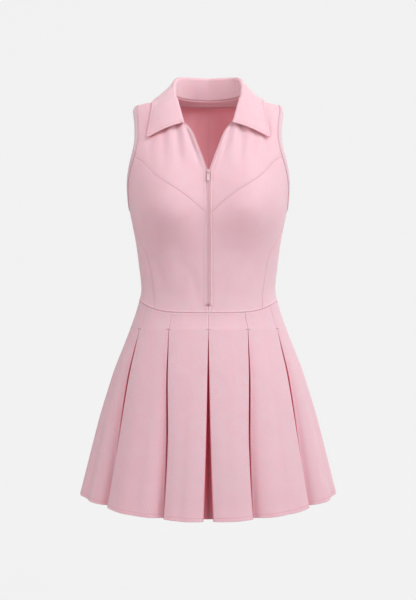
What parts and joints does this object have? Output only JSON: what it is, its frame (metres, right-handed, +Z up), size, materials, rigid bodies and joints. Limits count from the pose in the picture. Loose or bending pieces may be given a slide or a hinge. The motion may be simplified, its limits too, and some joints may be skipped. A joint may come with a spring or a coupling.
{
  "type": "tennis dress",
  "caption": "Sleeveless tennis dress with a folded collar, half-open front zip and box-pleated skirt, in its worn hollow form.",
  "frame": {"origin": "midway between the points where the shoulder seams meet the collar, where the wearer's shoulders hold the dress", "axes": "+X to the right of the front view, -Y towards the front, +Z up"},
  "size_m": [0.504, 0.3902, 0.8599],
  "materials": {
    "bodice_knit": "smooth matt stretch knit, dusty pink",
    "skirt_twill": "fine diagonal twill, dusty pink",
    "zip_coil": "dyed nylon coil and tape edge",
    "zip_metal": "semi-gloss enamel, dusty pink"
  },
  "bodies": {
    "garment": {"front_yoke_right": "bodice_knit", "front_yoke_left": "bodice_knit", "front_body_right": "bodice_knit", "front_body_left": "bodice_knit", "side_panel_right": "bodice_knit", "side_panel_left": "bodice_knit", "back_body_right": "bodice_knit", "back_body_left": "bodice_knit", "armhole_binding_right": "bodice_knit", "armhole_binding_left": "bodice_knit", "collar_stand": "bodice_knit", "collar_leaf": "bodice_knit", "neck_tape": "bodice_knit", "skirt_front_middle_right": "skirt_twill", "skirt_front_middle_left": "skirt_twill", "skirt_front_next_right": "skirt_twill", "skirt_front_next_left": "skirt_twill", "skirt_front_side_right": "skirt_twill", "skirt_front_side_left": "skirt_twill", "skirt_back_middle_right": "skirt_twill", "skirt_back_middle_left": "skirt_twill", "skirt_back_next_right": "skirt_twill", "skirt_back_next_left": "skirt_twill", "skirt_back_side_right": "skirt_twill", "skirt_back_side_left": "skirt_twill", "zip_chain_right": "zip_coil", "zip_chain_left": "zip_coil", "zip_slider": "zip_metal", "zip_bottom_stop": "zip_metal"},
    "zip_pull": {"zip_pull_tab": "zip_metal"}
  },
  "joints": [
    {"name": "zip_pull_hinge", "type": "hinge", "parent": "garment", "child": "zip_pull", "pos_m": [0, -0.10554, -0.16601], "axis": [-1, 0, 0], "range_deg": [0, 160]}
  ]
}
